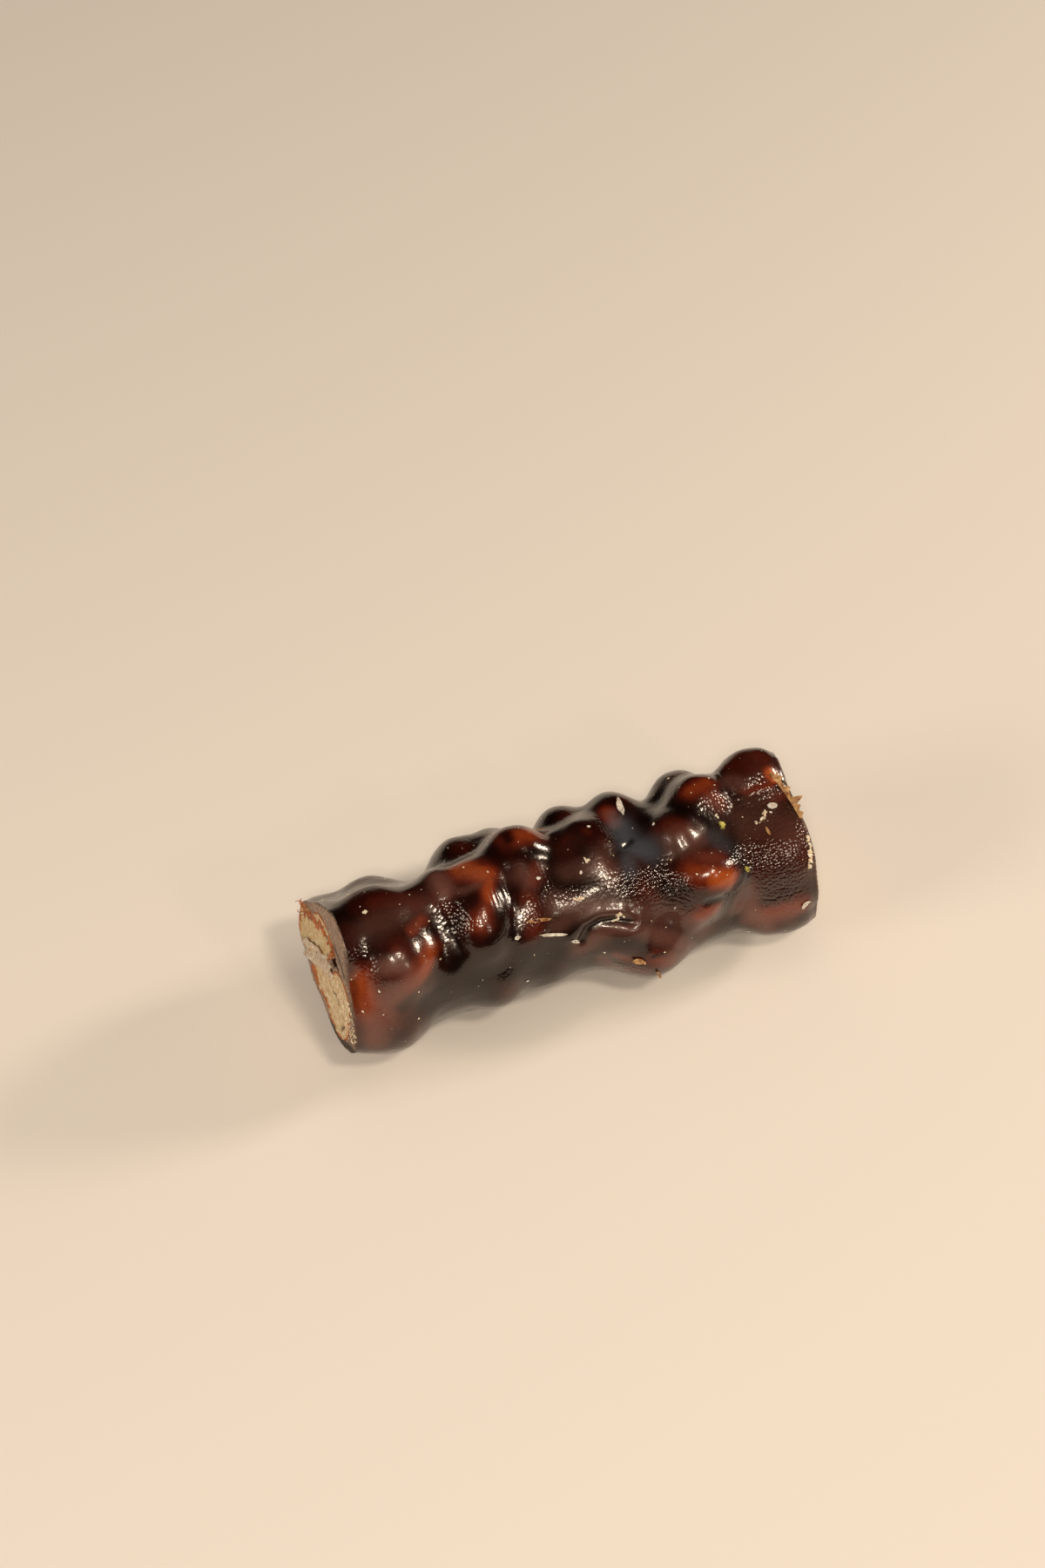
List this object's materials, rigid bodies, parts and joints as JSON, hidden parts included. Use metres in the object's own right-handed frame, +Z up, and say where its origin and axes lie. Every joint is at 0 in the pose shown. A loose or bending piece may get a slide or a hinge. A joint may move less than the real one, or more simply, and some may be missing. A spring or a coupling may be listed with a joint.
{
  "type": "churchkhela",
  "caption": "Cut length of churchkhela: walnut halves on a thread under a lumpy, dark, glossy skin of dried grape must, with the cut nuts showing at both ends.",
  "frame": {"origin": "middle of the underside of the object's box, on the surface it lies on", "axes": "+X along the strand from the cut at the picture's left to the other cut, +Z up, -Y towards the viewer"},
  "size_m": [0.0936, 0.0352, 0.0326],
  "materials": {
    "must": "glossy, slightly translucent dried must, pebbled in places",
    "kernel": "matte cream walnut flesh with an orange-brown skin",
    "thread": "must-stained cotton thread",
    "membrane": "thin papery walnut membrane"
  },
  "bodies": {
    "root": {"must_coat": "must", "kernel_left_lower": "kernel", "kernel_left_upper": "kernel", "kernel_right_front": "kernel", "kernel_right_back": "kernel", "kernel_right_lower": "kernel", "kernel_b": "kernel", "kernel_c": "kernel", "kernel_d": "kernel", "kernel_e": "kernel", "kernel_f": "kernel", "thread": "thread", "septum_left": "membrane", "septum_right": "membrane"}
  },
  "joints": []
}
